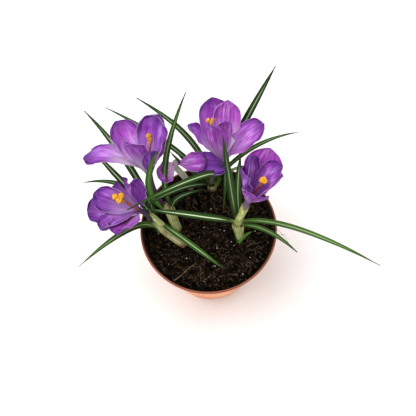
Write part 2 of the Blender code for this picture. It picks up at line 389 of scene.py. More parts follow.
def clayFinish():
    clay = Finish("terracottaPlastic", Roughness=0.5, Specular_IOR_Level=0.2)
    split = clay.node("ShaderNodeSeparateXYZ", {}, {0: clay.place()})
    x, y, z = (Value(clay, split.outputs[i]) / mm for i in range(3))
    outward = (x * x + y * y) ** 0.5 - z * (wallRadius(1) - wallRadius(0)) - pot["base"]
    broad = clay.cloud(clay.place(), 38.0, 4.0)
    fine = clay.cloud(clay.place(), 900.0, 2.0)
    colour = clay.mix((0.78, 0.27, 0.12), (0.92, 0.42, 0.22), broad.step(0.35, 0.7))
    dust = broad.step(0.55, 0.72) * fine.step(0.4, 0.62)
    colour = clay.mix(colour, (0.60, 0.45, 0.36), dust * 0.35)
    smear = clay.cloud(clay.vector(x * 0.05, y * 0.05, z * 0.12), 1.0, 4.0).step(0.58, 0.74)
    colour = clay.mix(colour, (0.36, 0.28, 0.22), smear * 0.45)
    lipShade = (z + broad * 2).step(pot["height"] - 1.8, pot["height"] - 0.2)
    colour = clay.mix(colour, (0.20, 0.052, 0.026), lipShade * 0.9)
    insideShade = clay.mix((0.016, 0.010, 0.007), (0.085, 0.034, 0.020), broad.step(0.5, 0.75))
    colour = clay.mix(colour, insideShade, outward.step(-0.45, -0.95))      # the inside of the wall is painted near-black: painted shade in the pot's hollow
    clay.bump(fine, 0.12, 0.0004)
    return clay.done(Base_Color=colour, Roughness=0.42 + broad * 0.25)


def buildPot():
    high, wall = pot["height"], pot["wall"]
    floorTop = pot["foot"] + wall
    bandFoot = high - pot["band"]
    ring, hole = pot["drainRing"], pot["drainRadius"]
    rings = [
        (2, floorTop), (wallRadius(floorTop) - wall - 2, floorTop),
        (wallRadius(floorTop) - wall - 0.4, floorTop + 0.5),
        (wallRadius(floorTop + 3) - wall, floorTop + 3),
        (wallRadius(high - 4) - wall, high - 4), (wallRadius(high - 1) - wall + 0.05, high - 1.0),
        (wallRadius(high) - wall + 0.2, high - 0.3), (wallRadius(high) - wall + 0.6, high - 0.05),
        (pot["rim"] - 0.5, high - 0.1), (pot["rim"] - 0.15, high - 0.35), (pot["rim"], high - 0.8),
        (pot["rim"] - 0.1, high - 1.6), (pot["rim"] - 0.5, bandFoot),
        (wallRadius(bandFoot - 0.6), bandFoot - 0.6), (wallRadius(30), 30), (wallRadius(3), 3),
        (wallRadius(0) + 0.2, 1), (wallRadius(0) - 0.5, 0.1), (wallRadius(0) - 0.9, 0),
        (wallRadius(0) - 3, 0), (wallRadius(0) - 4, pot["foot"]),
        (ring - hole - 3.5, pot["foot"]), (ring - hole - 4.5, 0), (2, 0),
    ]
    piece = ringStack("flowerPot", rings, pot["segments"])
    drill = []
    for index in range(pot["drains"]):
        angle = 2 * math.pi * index / pot["drains"]
        middle = Vector((ring * math.cos(angle), ring * math.sin(angle), floorTop)) * mm
        deselectAll()
        bpy.ops.mesh.primitive_cylinder_add(vertices=pot["drainSides"], radius=hole * mm,
                                            depth=pot["drillLength"] * mm, location=middle)
        drill.append(bpy.context.object)
    cutter = joinPieces("drainDrill", drill)
    applyModifier(piece, "BOOLEAN", object=cutter, operation="DIFFERENCE", solver="EXACT")
    bpy.data.objects.remove(cutter, do_unlink=True)
    smooth(piece, 38)
    paint(piece, clayFinish())
    settle(piece, "pot", "pot")
    print("pot done")


soil = {
    "edge": 70.0,                  # height of the peat at the wall
    "crown": 1.5,
    "radius": 46.9,
    "sunken": 1.6,                 # how far it drops where it meets the wall
    "bumps": [(0.9, 0.07), (0.5, 0.25), (0.35, 0.8)],      # height of each, and how close together
    "cells": 170,
    "underside": 4.2,              # just over the pot's floor
    "clearance": 0.8,
    "crumbs": 4200,
    "crumbSpread": 0.99,           # the share of the radius that they cover
    "flatness": 0.7,               # a lump's height against its width
    "specks": 26,
    "speckReach": 44.0,
    "fibres": 330,
    "fibreReach": 45.0,
    "fibreLimit": 45.8,            # a fibre ends before the wall
    "fibreBends": 5,
    # lengths of root on the peat, in plan, and loose ones over the rim, each with its radius
    "roots": [(((-26.6, -37.5), (-21, -34), (-16, -29.5), (-10.4, -26)), 0.42),
              (((-8.1, -27.5), (-7, -32), (-8, -37), (-7.3, -41)), 0.22),
              (((22, -8), (24.5, -8), (27, -10), (28.8, -12.6)), 0.25)],
    "looseRoots": [(((46.5, -3, 75.2), (50.6, -6.2, 75.2), (55.7, -12.8, 74), (60.4, -22.3, 71)), 0.16),
                   (((47.5, -8, 75.2), (51.5, -9.5, 75), (54.5, -9.0, 74), (58.5, -13.5, 73)), 0.13)],
    "rootLift": 0.5,
    "whiteBits": [(28, -30.5), (22.5, -36), (-3.5, 1), (5.3, -15.4), (8.4, -1.5), (11.3, -2.5), (2.7, 16),
                  (3, -29), (28.6, -24), (16, -11.4), (17.8, -14.3), (-17, -22), (34, -4)],
}


def soilHeight(x, y):
    r = math.hypot(x, y) / soil["radius"]
    z = soil["edge"] + soil["crown"] * (1 - r * r)
    for seed, (swell, rate) in enumerate(soil["bumps"], 1):
        z += swell * ripple(x * rate, y * rate, seed)
    return z - soil["sunken"] * bend01(0.93, 1.0, r)


def peatFinish():
    peat = Finish("darkPeat", Roughness=0.95, Specular_IOR_Level=0.05)
    place = peat.place()
    clods = peat.cloud(place, 220.0, 6.0, 0.65)
    specks = peat.cloud(place, 1400.0, 3.0, 0.6)
    combed = peat.node("ShaderNodeMapping", {}, {"Vector": place, "Rotation": (0, 0, 0.7),
                                                 "Scale": (1, 9, 1)})
    fibre = peat.cloud(combed.outputs[0], 260.0, 3.0)
    colour = peat.mix((0.0010, 0.0006, 0.0003), (0.014, 0.0085, 0.004), clods.step(0.44, 0.66))
    colour = peat.mix(colour, (0.050, 0.034, 0.018), fibre.step(0.62, 0.70) * 0.6)
    colour = peat.mix(colour, (0.11, 0.09, 0.055), specks.step(0.66, 0.74) * 0.7)
    peat.bump(clods + specks * 0.4, 1.0, 0.002)
    return peat.done(Base_Color=colour, Roughness=0.75 + clods * 0.25)


def buildSoil():
    radius, lower = soil["radius"], soil["underside"]

    def place(s, v):
        x = s * 2 - 1
        flatX = x * math.sqrt(1 - v * v / 2) * radius
        flatY = v * math.sqrt(1 - x * x / 2) * radius
        return Vector((flatX, flatY, soilHeight(flatX, flatY)))
    piece = sheetPiece("soilBed", soil["cells"], soil["cells"], place)
    selectRim(piece)
    bpy.ops.mesh.extrude_edges_move(TRANSFORM_OT_translate={"value": (0, 0, (lower - soil["edge"]) * mm)})
    shrink = (wallRadius(lower) - pot["wall"] - soil["clearance"]) / radius
    bpy.ops.transform.resize(value=(shrink, shrink, 0), center_override=(0, 0, lower * mm))
    closeRim()
    smooth(piece, 60)
    paint(piece, peatFinish())
    settle(piece, "soil", "soil")
    print("soil bed done")


def scatter(name, spots, sizes, jitter, seed):
    # many small lumps of twenty faces each, as one piece
    dice = random.Random(seed)
    deselectAll()
    bpy.ops.mesh.primitive_ico_sphere_add(subdivisions=1, radius=1)
    lump = bpy.context.object
    shape = [vert.co.copy() for vert in lump.data.vertices]
    faces = [tuple(face.vertices) for face in lump.data.polygons]
    bpy.data.objects.remove(lump, do_unlink=True)
    points, cells = [], []
    for (x, y, z), size in zip(spots, sizes):
        turn = Quaternion((dice.gauss(0, 1), dice.gauss(0, 1), dice.gauss(0, 1)), dice.uniform(0, 3))
        stretch = Vector((dice.uniform(0.7, 1.4), dice.uniform(0.7, 1.3),
                          dice.uniform(0.5, 1) * soil["flatness"]))
        start = len(points)
        for corner in shape:
            point = turn @ (corner * dice.uniform(1 - jitter, 1 + jitter))
            point = Vector((point.x * stretch.x, point.y * stretch.y, point.z * stretch.z)) * size
            points.append((Vector((x, y, z)) + point) * mm)
        cells.extend(tuple(start + corner for corner in face) for face in faces)
    mesh = bpy.data.meshes.new(name)
    mesh.from_pydata(points, [], cells)
    piece = bpy.data.objects.new(name, mesh)
    bpy.context.scene.collection.objects.link(piece)
    return piece


def strands(name, lines, radii):
    # thin roots and fibres as one curve, made a mesh
    curve = bpy.data.curves.new(name, "CURVE")
    curve.dimensions = "3D"
    curve.bevel_depth = mm
    curve.bevel_resolution = 1
    curve.use_fill_caps = True
    for line, radius in zip(lines, radii):
        spline = curve.splines.new("POLY")
        spline.points.add(len(line) - 1)
        for index, (knot, point) in enumerate(zip(spline.points, line)):
            knot.co = (*(Vector(point) * mm), 1)
            knot.radius = radius * (1 - 0.75 * (index / (len(line) - 1)) ** 2)
    piece = bpy.data.objects.new(name, curve)
    bpy.context.scene.collection.objects.link(piece)
    pick(piece)
    bpy.ops.object.convert(target="MESH")
    return bpy.context.object


def anywhere(dice, reach):
    # a random spot on the round bed
    r = reach * math.sqrt(dice.random())
    angle = dice.uniform(0, 2 * math.pi)
    return r * math.cos(angle), r * math.sin(angle)


def buildCrumbs(dice):
    spots, sizes = [], []
    for index in range(soil["crumbs"]):
        x, y = anywhere(dice, soil["radius"] * soil["crumbSpread"])
        size = dice.uniform(0.25, 0.75) * (1.7 if dice.random() < 0.08 else 1)      # a few big ones
        spots.append((x, y, soilHeight(x, y) + size * 0.2))
        sizes.append(size)
    crumbs = scatter("peatCrumbs", spots, sizes, 0.25, 5)
    crumb = Finish("peatCrumb", Roughness=0.95, Specular_IOR_Level=0.05)
    lumps = crumb.cloud(crumb.place(), 420.0, 3.0)
    rich = crumb.mix((0.0010, 0.0007, 0.0003), (0.060, 0.036, 0.016), lumps.step(0.46, 0.66))
    paint(crumbs, crumb.done(Base_Color=rich))
    settle(crumbs, "soil")


def buildGrit(dice):
    spots = [(x, y, soilHeight(x, y) + 0.25) for x, y in soil["whiteBits"]]
    sizes = [dice.uniform(0.3, 0.6) for spot in spots]
    for index in range(soil["specks"]):
        x, y = anywhere(dice, soil["speckReach"])
        spots.append((x, y, soilHeight(x, y) + 0.1))
        sizes.append(dice.uniform(0.15, 0.28))
    grit = scatter("gritSpecks", spots, sizes, 0.3, 6)
    chalk = Finish("whiteGrit", Roughness=0.85)
    mottled = chalk.cloud(chalk.place(), 900.0, 3.0)
    white = chalk.mix((0.42, 0.38, 0.32), (0.78, 0.75, 0.70), mottled.step(0.4, 0.6))
    paint(grit, chalk.done(Base_Color=white))
    settle(grit, "soil")


def buildFibres(dice):
    lines, radii = [], []
    for index in range(soil["fibres"]):
        x, y = anywhere(dice, soil["fibreReach"])
        heading = dice.uniform(0, 2 * math.pi)
        stride = dice.uniform(1.5, 6) / soil["fibreBends"]
        line = []
        for step in range(soil["fibreBends"] + 1):
            line.append((x, y, soilHeight(x, y) + 0.25 + 0.5 * math.sin(step * 0.6)))
            heading += dice.uniform(-0.5, 0.5)
            x += math.cos(heading) * stride
            y += math.sin(heading) * stride
            if math.hypot(x, y) > soil["fibreLimit"]:
                break
        if len(line) > 2:
            lines.append(line)
            radii.append(dice.uniform(0.06, 0.13))
    fibres = strands("peatFibres", lines, radii)
    straw = Finish("peatFibre", Roughness=0.8)
    shade = straw.cloud(straw.place(), 60.0, 2.0)
    blend = straw.mix((0.035, 0.022, 0.012), (0.26, 0.18, 0.10), shade.step(0.40, 0.68))
    paint(fibres, straw.done(Base_Color=blend))
    settle(fibres, "soil")


def buildRoots():
    lines = []
    for line, radius in soil["roots"]:
        lines.append([(x, y, soilHeight(x, y) + soil["rootLift"]) for x, y in line])
    lines += [line for line, radius in soil["looseRoots"]]
    radii = [radius for line, radius in soil["roots"] + soil["looseRoots"]]
    twigs = strands("twigs", lines, radii)
    bark = Finish("rootBrown", Roughness=0.75)
    rings = bark.cloud(bark.place(), 500.0, 3.0)
    brown = bark.mix((0.075, 0.040, 0.020), (0.25, 0.15, 0.08), rings.step(0.4, 0.65))
    paint(twigs, bark.done(Base_Color=brown))
    settle(twigs, "soil")


def buildLitter():
    dice = random.Random(11)
    buildCrumbs(dice)
    buildGrit(dice)
    buildFibres(dice)
    buildRoots()
    print("soil litter done")


leaf = {
    "thickness": 0.5,
    "channel": 0.28,
    "cells": (46, 14),
    "foot": 0.4,                   # width at the root, as a share of the full width
    "full": 0.3,                   # where along the leaf it reaches its full width
    "taper": 0.4,                  # and where it starts to narrow
    "tip": 0.08,
    "tucked": 0.04,                # the share of it that starts inside its sheath
    "twist": 0.16,
    "wave": 0.35,
    # name: root, shoulder, tip, width, how bright its stripe is, how light its green
    "rows": {
        "leftLong": ((-35.6, 2.0, 80.6), (-48, 36, 112), (-83, 75, 122), 4.8, 0.50, 0.3),
        "leftTall": ((-25.2, 11.6, 90.4), (-36, 22, 118), (-10, 74, 138), 4.2, 0.35, 0.5),
        "leftFront": ((-36.4, -3.4, 80.2), (-43, 6, 102), (-92, -27, 82), 4.8, 0.35, 0.6),
        "leftInward": ((-24.2, 8.2, 90.0), (-27, 14, 101), (-2, 20, 96), 4.0, 0.50, 0.3),
        "leftMiddle": ((-33.4, 1.4, 80.8), (-55, 21, 106), (-80, 51, 110), 4.6, 0.95, 0.3),
        "leftSide": ((-37.2, 0.4, 80.0), (-47, 36, 96), (-88, 32, 95), 4.0, 0.40, 0.5),
        "leftRaised": ((-29.4, 8.2, 90.4), (-47, 12, 120), (-28, 23, 150), 4.4, 0.05, 0.9),
        "frontLow": ((-32.4, 0.6, 83.0), (-16, -16, 92), (9, -35, 82), 4.0, 0.45, 0.6),
        "backFarLeft": ((1.6, 34.6, 79.2), (-17, 47, 116), (-67, 74, 126), 4.0, 0.35, 0.4),
        "backLeft": ((2.2, 36.8, 79.2), (1, 47, 122), (-45, 79, 128), 4.5, 0.35, 0.3),
        "backRight": ((7.0, 37.6, 79.2), (29, 53, 130), (51, 82, 150), 5.2, 0.30, 0.1),
        "backSide": ((8.0, 35.0, 79.2), (30, 50, 110), (69, 58, 104), 3.4, 0.35, 0.5),
        "centreWide": ((7.4, 31.2, 79.2), (22, 32, 124), (-52, -4, 122), 5.2, 0.70, 0.4),
        "centreUnder": ((2.8, 32.4, 79.2), (-16, 22, 106), (-42, 2, 112), 4.4, 0.35, 0.2),
        "rightBack": ((22.6, 0.2, 88.2), (20, 14, 108), (25, 33, 118), 4.6, 0.30, 0.3),
        "rightTall": ((19.6, 0.4, 88.4), (16, 11, 122), (12, 26, 158), 4.6, 0.35, 0.4),
        "rightInward": ((17.4, -2.2, 88.2), (-8, -3, 104), (-44, 4, 104), 5.0, 1.00, 0.3),
        "rightLong": ((24.6, -2.8, 88.2), (52, -8, 108), (118, -38, 78), 3.8, 0.50, 0.9),
        "rightLow": ((23.8, -5.6, 88.0), (41, -8, 92), (61, -26, 82), 3.4, 0.35, 0.7),
    },
    # small extra leaves that have no solid of their own
    "extras": {
        "hangingTip": ((8, 33, 79), (18, 46, 124), (11.4, 8.2, 80), 3.0, 0.25, 0.4),
        "hangingShort": ((9, 34, 79), (19, 42, 116), (14, 17.7, 90), 2.4, 0.25, 0.3),
        "shadowBlade": ((20, 1, 86), (20, 18, 96), (18.5, 29, 105), 2.6, 0.10, 0.0),
        "rightSmall": ((10, 35, 79), (16, 28, 112), (32.1, 25.6, 118), 2.6, 0.60, 0.6),
        "backSliver": ((0, 35, 79), (-20, 46, 104), (-26.2, 58.5, 105), 1.8, 0.10, 0.3),
        "backShort": ((0, 33.5, 79), (-16, 36, 104), (-23.9, 45.7, 108), 2.4, 0.10, 0.2),
    },
}


def leafFinish(name, under):
    green = Finish(name, Roughness=0.5, Specular_IOR_Level=0.22)
    s, v = green.along()
    side = abs(v * 2 - 1)
    bright, light = green.number("stripe"), green.number("lightness")
    seed = bright * 9 + light * 17
    lines = green.cloud(green.vector(s * 2.5, v * 55, seed), 1.0, 2.0)
    patches = green.cloud(green.vector(s * 7, v * 1.5, seed), 1.0, 3.0)
    deep = green.mix((0.003, 0.013, 0.001), (0.036, 0.105, 0.007), light)
    fresh = green.mix((0.016, 0.055, 0.004), (0.12, 0.28, 0.025), light)
    mottle = (lines.step(0.35, 0.7) * 0.7 + patches.step(0.45, 0.75) * 0.3).clamped()
    colour = green.mix(deep, fresh, mottle)
    if under:
        colour = green.mix(colour, (0.12, 0.24, 0.045), 0.4)
        keel = side.step(0.20, 0.05)
        colour = green.mix(colour, (0.20, 0.34, 0.08), keel * 0.5)
    else:
        taper = s.step(0.02, 0.25) * s.step(0.97, 0.72)
        keel = (side + (1 - taper) * 0.25).step(0.25, 0.13)
        pale = green.mix((0.13, 0.26, 0.06), (0.74, 0.90, 0.58), bright)
        colour = green.mix(colour, pale, keel * (0.55 + lines * 0.6).clamped())
    colour = green.mix(colour, (0.30, 0.36, 0.11), s.step(0.10, 0.0) * 0.7)
    colour = green.mix(colour, (0.012, 0.030, 0.006), s.step(0.93, 1.0) * 0.7)
    colour = green.mix(colour, (0.004, 0.014, 0.002), side.step(0.55, 0.95) * (0.85 - light * 0.45))
    green.bump(lines * 0.6 + keel * -0.6, 0.35, 0.0004)
    return green.done(Base_Color=colour, Roughness=0.45 + lines * 0.2)


def leafSpine(root, shoulder, tip, seed):
    start = Vector(root)
    first, last = Vector(shoulder) - start, Vector(tip) - start
    across = up.cross(last).normalized()

    def at(s):
        centre = start + first * (2 * s * (1 - s)) + last * (s * s)
        tangent = (first * (1 - 2 * s) + last * s).normalized()
        side = (across - tangent * across.dot(tangent)).normalized()
        twist = leaf["twist"] * ripple(s * 2.2, 0.5, seed) * bend01(0, 0.4, s)
        side = Quaternion(tangent, twist) @ side
        return centre, side, tangent.cross(side)
    return at


def leafPiece(name, row, seed, topFinish, underFinish):
    root, shoulder, tip, width, bright, light = row
    spine = leafSpine(root, shoulder, tip, seed)
    tucked, foot, narrowing = leaf["tucked"], leaf["foot"], leaf["taper"]

    def place(s, v):
        centre, side, normal = spine(s * (1 + tucked) - tucked)
        rise = foot + (1 - foot) * math.sin(math.pi / 2 * min(1, s / leaf["full"]))
        taper = 1 - max(0, (s - narrowing) / (1 - narrowing)) ** 2.4
        half = width / 2 * max(leaf["tip"], rise * taper) * (1 + 0.05 * ripple(s * 9, v, seed + 3))
        # a shallow channel with a sunken midrib
        groove = leaf["channel"] * v * v + 0.10 * v ** 4 - 0.10 * math.exp(-(v / 0.28) ** 2)
        sway = leaf["wave"] * ripple(s * 5, v * 0.6, seed + 5) * bend01(0, 0.2, s)
        return centre + side * (v * half) + normal * (groove * half + sway)
    piece = sheetPiece(name, *leaf["cells"], place)
    paint(piece, topFinish, underFinish)
    applyModifier(piece, "SOLIDIFY", thickness=leaf["thickness"] * mm, offset=0,
                  material_offset=1, material_offset_rim=0)
    tone(piece, stripe=bright, lightness=light)
    smooth(piece, 50)
    return piece


def buildLeaves():
    topFinish = leafFinish("leafFace", False)
    underFinish = leafFinish("leafBack", True)
    for index, (name, row) in enumerate(leaf["rows"].items()):
        node = "leaf_" + "".join("_" + c.lower() if c.isupper() else c for c in name)
        piece = leafPiece("leaf" + name[0].upper() + name[1:], row, index, topFinish, underFinish)
        settle(piece, "leaf", node)
    for index, (name, row) in enumerate(leaf["extras"].items()):
        piece = leafPiece("leaf" + name[0].upper() + name[1:], row, 40 + index, topFinish, underFinish)
        settle(piece, "leaf")
    print("leaves done")


flower = {
    "petalThickness": 0.36,
    "petalCells": (44, 24),
    "throatRing": 2.1,             # radius on which the petals stand
    "claw": 0.5,                   # their height over the throat
    "widest": 0.6,                 # where along a petal it is widest
    "twistDone": 0.4,              # and where its face has turned fully
    "notch": 0.035,                # how far the tip dips between its corners
    # letter: foot, knee and throat of the tube, lean and its bearing
    "rows": {
        "a": ((4.6, 36.2, 79.2), (5, 40, 94), (13, 35, 110), 32, 88),
        "b": ((-27.2, 9.2, 90.2), (-36, 10, 100), (-38, 25, 115), 33, 100),
        "c": ((-34.6, -1.2, 80.2), (-39, 2, 90), (-47, 7, 95), 48, 175),
        "d": ((20.8, -3.4, 88.2), (22, -6, 98), (27, -1, 118), 22, 35),
        "e": ((-14, 37, 78.6), (-15, 37, 90), (-21, 39, 103), 50, -20),
    },
    "tubeRadii": {"a": 1.75, "b": 1.75, "c": 1.75, "d": 1.75, "e": 2.3},
    # the flowers a tube finish is for, its colours at foot, middle and throat, and between which heights
    "tubes": {
        "tubeMauve": ("a", (0.30, 0.26, 0.20), (0.11, 0.062, 0.12), (0.10, 0.045, 0.13), 78, 105),
        "tubeDusky": ("bc", (0.20, 0.16, 0.12), (0.040, 0.020, 0.042), (0.060, 0.024, 0.080), 79, 100),
        "tubePale": ("e", (0.62, 0.62, 0.44), (0.70, 0.70, 0.56), (0.56, 0.50, 0.50), 78, 104),
        "tubeGreenish": ("d", (0.42, 0.44, 0.24), (0.34, 0.34, 0.24), (0.14, 0.08, 0.16), 96, 117),
    },
    # each petal: bearing, opening at foot and tip, length, width, cupping, twist, ruffle,
    # then pinkness, paleness of the base, darkness of the tip, and painted shade over the whole petal
    "petals": {
        "a": [(113, 14, 23, 43, 23, 26, -20, 1.6, 0.5, 0.1, 0.8, 0.05),
              (56, 3, 12, 42, 20, 30, 40, 1.1, 1.2, 0.9, 0.0, 0.0),
              (172, 32, 46, 34, 14, 38, -20, 1.1, 0.4, 0.4, 0.7, 0.1),
              (-13, 30, 54, 39, 20, 28, 45, 1.3, 0.7, 0.2, 1.0, 0.2),
              (-114, 28, 18, 36, 18, 55, 10, 1.0, 0.9, 0.1, 0.3, 0.15),
              (-84, 15, 15, 36, 12, 45, 0, 1.2, 1.0, 0.7, 0.1, 0.0)],
        "b": [(149, 13, 38, 41, 22, 20, -18, 1.7, 0.7, 0.5, 1.0, 0.05),
              (16, 8, 26, 42, 25, 30, 42, 2.2, 0.4, 0.2, 1.0, 0.15),
              (180, 24, 110, 47, 16, 28, -25, 1.6, 0.5, 0.8, 1.0, 0.15),
              (-112, 24, 24, 35, 18, 45, 0, 1.1, 0.6, 0.5, 0.4, 0.25),
              (-18, 27, 30, 33, 20, 35, 25, 1.1, 1.0, 0.2, 0.4, 0.0),
              (-65, 36, 32, 30, 12, 35, 0, 0.9, 0.3, 0.0, 0.8, 0.4)],
        "c": [(178, 24, 50, 36, 22, 30, -10, 1.5, 0.4, 0.3, 0.9, 0.4),
              (146, 2, 30, 34, 19, 28, -12, 1.8, 0.4, 0.4, 1.0, 0.2),
              (106, 36, 70, 26, 20, 30, 0, 1.8, 0.6, 0.2, 0.9, 0.35),
              (28, 52, 60, 25, 16, 35, 30, 1.4, 0.7, 0.0, 1.0, 1.15),
              (-122, 24, 50, 31, 21, 35, -10, 1.8, 0.5, 0.2, 0.8, 0.5),
              (-84, 46, 56, 29, 23, 35, -30, 2.2, 0.8, 0.2, 0.8, 0.3)],
        "d": [(74, 18, 24, 38, 25, 32, 0, 0.9, 1.35, 0.0, 0.2, 0.0),
              (138, 14, 20, 35, 18, 45, 0, 1.3, 0.5, 0.1, 0.7, 0.35),
              (182, 24, 22, 32, 17, 55, 0, 1.3, 0.5, 0.2, 0.6, 0.25),
              (18, 9, 20, 36, 18, 40, 0, 1.2, 0.6, 0.1, 0.9, 0.1),
              (-20, 20, 12, 34, 19, 50, 0, 0.9, 1.0, 0.3, 0.2, 0.0),
              (-108, 34, 32, 29, 21, 60, 0, 1.2, 0.7, 0.2, 0.6, 0.15)],
        "e": [(-142, 68, 100, 20, 15, 30, 0, 1.5, 0.9, 0.6, 0.4, 0.0),
              (4, 14, 40, 22, 15, 32, 0, 1.9, 0.9, 0.1, 0.8, 0.1),
              (0, 26, 46, 37, 18, 25, 0, 2.0, 0.3, 0.0, 1.0, 0.6)],
    },
    # the stigma's head from the throat, then its lobes: place from the head and radius
    "stigmas": {
        "a": ((-7, 17, 22), [((-1.9, 1.2, 1.6), 1.4), ((1.8, 1.4, 1.9), 1.5), ((0.1, 0.2, 0.4), 1.3)]),
        "b": ((2.5, 16, 20), [((0.5, -0.8, -1.6), 1.3), ((0, 0, 0.1), 1.5), ((-0.4, 0.9, 1.7), 1.5)]),
        "c": ((-13, 4, 15), [((-2.4, 0.8, 0), 1.95), ((1.9, 1.2, 0), 1.95), ((0.5, -2.4, 0.4), 1.9)]),
        "d": ((9, 3, 22), [((-0.5, 0.3, 0.2), 1.9), ((0.9, -0.6, 0.5), 1.6), ((0.4, 1.2, 0.3), 1.5)]),
    },
}


def petalFinish(name, outside):
    silk = Finish(name, Roughness=0.5, Specular_IOR_Level=0.3, Subsurface_Weight=0.12,
                  Subsurface_Scale=0.002)
    s, v = silk.along()
    side = abs(v * 2 - 1)
    pink, pale, dusk = silk.number("pinkness"), silk.number("paleness"), silk.number("dusk")
    shade = silk.number("shade")
    seed = pink * 13 + dusk * 29 + shade * 7 + pale * 5
    broad = silk.cloud(silk.vector(s * 2.2, v * 4, seed), 1.0, 4.0, 0.6)
    streak = silk.cloud(silk.vector(s * 2.2, v * 22, seed), 1.0, 3.0)
    fine = silk.cloud(silk.vector(s * 6, v * 75, seed), 1.0, 3.0)
    mid = silk.mix((0.225, 0.048, 0.500), (0.520, 0.088, 0.620), pink)
    light = silk.mix((0.520, 0.240, 0.860), (0.860, 0.430, 0.960), pink)
    dark = silk.mix((0.045, 0.007, 0.160), (0.130, 0.015, 0.210), pink)
    # lighter broad patches towards the middle of the petal: partly mottled colour, partly painted highlight
    colour = silk.mix(mid, light, (broad.step(0.45, 0.68) * side.step(0.95, 0.3)).clamped())
    colour = silk.mix(colour, dark, broad.step(0.50, 0.30) * 0.45)
    colour = silk.mix(colour, dark, streak.step(0.50, 0.62) * 0.58)
    colour = silk.mix(colour, dark, fine.step(0.54, 0.66) * 0.5)
    uneven = broad * 0.3
    margin = (side + uneven).step(0.80, 1.08) * s.step(0.25, 0.55)
    tipDark = (s + uneven).step(0.74, 1.08)
    colour = silk.mix(colour, dark, ((margin + tipDark) * (0.30 + dusk * 0.55)).clamped())
    if outside:
        groove = side.step(0.16, 0.02) * s.step(0.95, 0.5)
        colour = silk.mix(colour, dark, groove * 0.6)
        colour = silk.mix(colour, (0.20, 0.10, 0.22), s.step(0.5, 0.05) * 0.6)
    else:
        groove = side.step(0.10, 0.02) * 0.5
    colour = silk.mix(colour, (0.80, 0.68, 0.80), (s + broad * 0.3).step(0.80, 0.35) * pale)
    colour = silk.mix(colour, (0.10, 0.03, 0.13), s.step(0.12, 0.0) * 0.7)
    # painted shade: the whole petal is darkened by its shade number, where it faces away from the light
    colour = silk.mix(colour, dark, shade * 0.75)
    # painted highlight: a thin pale rim along the petal's edges
    colour = silk.mix(colour, (0.58, 0.36, 0.68), side.step(0.955, 0.99) * s.step(0.15, 0.4) * 0.6)
    silk.bump(streak + fine * 0.5 + broad * 0.8 + groove * -0.7, 0.45, 0.0008)
    return silk.done(Base_Color=colour, Roughness=0.42 + streak * 0.2)


def flowerTurn(letter):
    lean, bearing = (math.radians(a) for a in flower["rows"][letter][3:])
    return Quaternion((-math.sin(bearing), math.cos(bearing), 0), lean)


def petalPiece(name, letter, row, seed, inside, outside):
    bearing, start, end, length, width, cupping, twist, ruffle, pink, pale, dusk, shade = row
    throat = Vector(flower["rows"][letter][2])
    turn = flowerTurn(letter) @ Quaternion(up, math.radians(bearing))
    first = math.radians(start)
    swing = math.radians(end - start) or 1e-6
    bend = math.radians(cupping)
    widest = flower["widest"]

    def outline(s):
        if s < widest:
            return 0.1 + 0.9 * math.sin(math.pi / 2 * s / widest) ** 1.5
        t = (s - widest) / (1 - widest)
        return max(0.05, math.sqrt(max(0, 1 - t ** 3.6)))

    def place(step, v):
        s = (step + math.sin(math.pi / 2 * step)) / 2      # closer rows towards the round tip
        opening = first + swing * s
        notch = 1 - flower["notch"] * abs(v) ** 3 * bend01(0.7, 1, s)
        outward = length * (math.cos(first) - math.cos(opening)) / swing
        upward = length * notch * (math.sin(opening) - math.sin(first)) / swing
        centre = Vector((flower["throatRing"] + outward, 0, flower["claw"] + upward))
        tangent = Vector((math.sin(opening), 0, math.cos(opening)))
        side = Quaternion(tangent, math.radians(twist) * min(1, s / flower["twistDone"])) @ Vector((0, 1, 0))
        normal = tangent.cross(side)
        edge = 1 + 0.09 * ripple(s * 7, v * 1.5, seed + 2) * abs(v) * bend01(0.3, 0.6, s)
        half = width / 2 * outline(s) * edge
        across = math.sin(bend * v) / bend
        lift = (1 - math.cos(bend * v)) / bend
        # the sides ruffle, the face is uneven, and the edge crumples finely
        wave = 1.5 * ripple(s * 5.5, v * 2.0, seed) * abs(v) ** 1.3 * bend01(0.25, 0.7, s)
        wave += 0.45 * ripple(s * 3.5, v * 3.5, seed + 9) * bend01(0.1, 0.5, s)
        wave += 0.45 * ripple(s * 13, v * 6, seed + 4) * bend01(0.7, 1, max(s, abs(v) * 0.9))
        crease = -0.35 * math.exp(-(v / 0.12) ** 2) * math.sin(math.pi * min(1, s * 1.1))
        local = centre + side * (across * half) + normal * (lift * half + ruffle * 1.3 * wave + crease)
        return throat + turn @ local
    piece = sheetPiece(name, *flower["petalCells"], place)
    paint(piece, inside, outside)
    applyModifier(piece, "SOLIDIFY", thickness=flower["petalThickness"] * mm, offset=0,
                  material_offset=1, material_offset_rim=0)
    tone(piece, pinkness=pink, paleness=pale, dusk=dusk, shade=shade)
    smooth(piece, 60)
    return piece


def tubeFinish(name, low, middle, high, zLow, zHigh):
    skin = Finish(name, Roughness=0.5, Specular_IOR_Level=0.35)
    s, v = skin.along()
    lines = skin.cloud(skin.vector(s * 3, v * 30, 0.0), 1.0, 2.0)
    z = skin.height()
    colour = skin.mix(low, middle, z.step(zLow, (zLow + zHigh) / 2))
    colour = skin.mix(colour, high, z.step((zLow + zHigh) / 2, zHigh))
    colour = skin.mix(colour, tuple(c * 0.45 for c in high), lines.step(0.5, 0.7) * 0.5)
    skin.bump(lines, 0.3, 0.0003)
    return skin.done(Base_Color=colour)


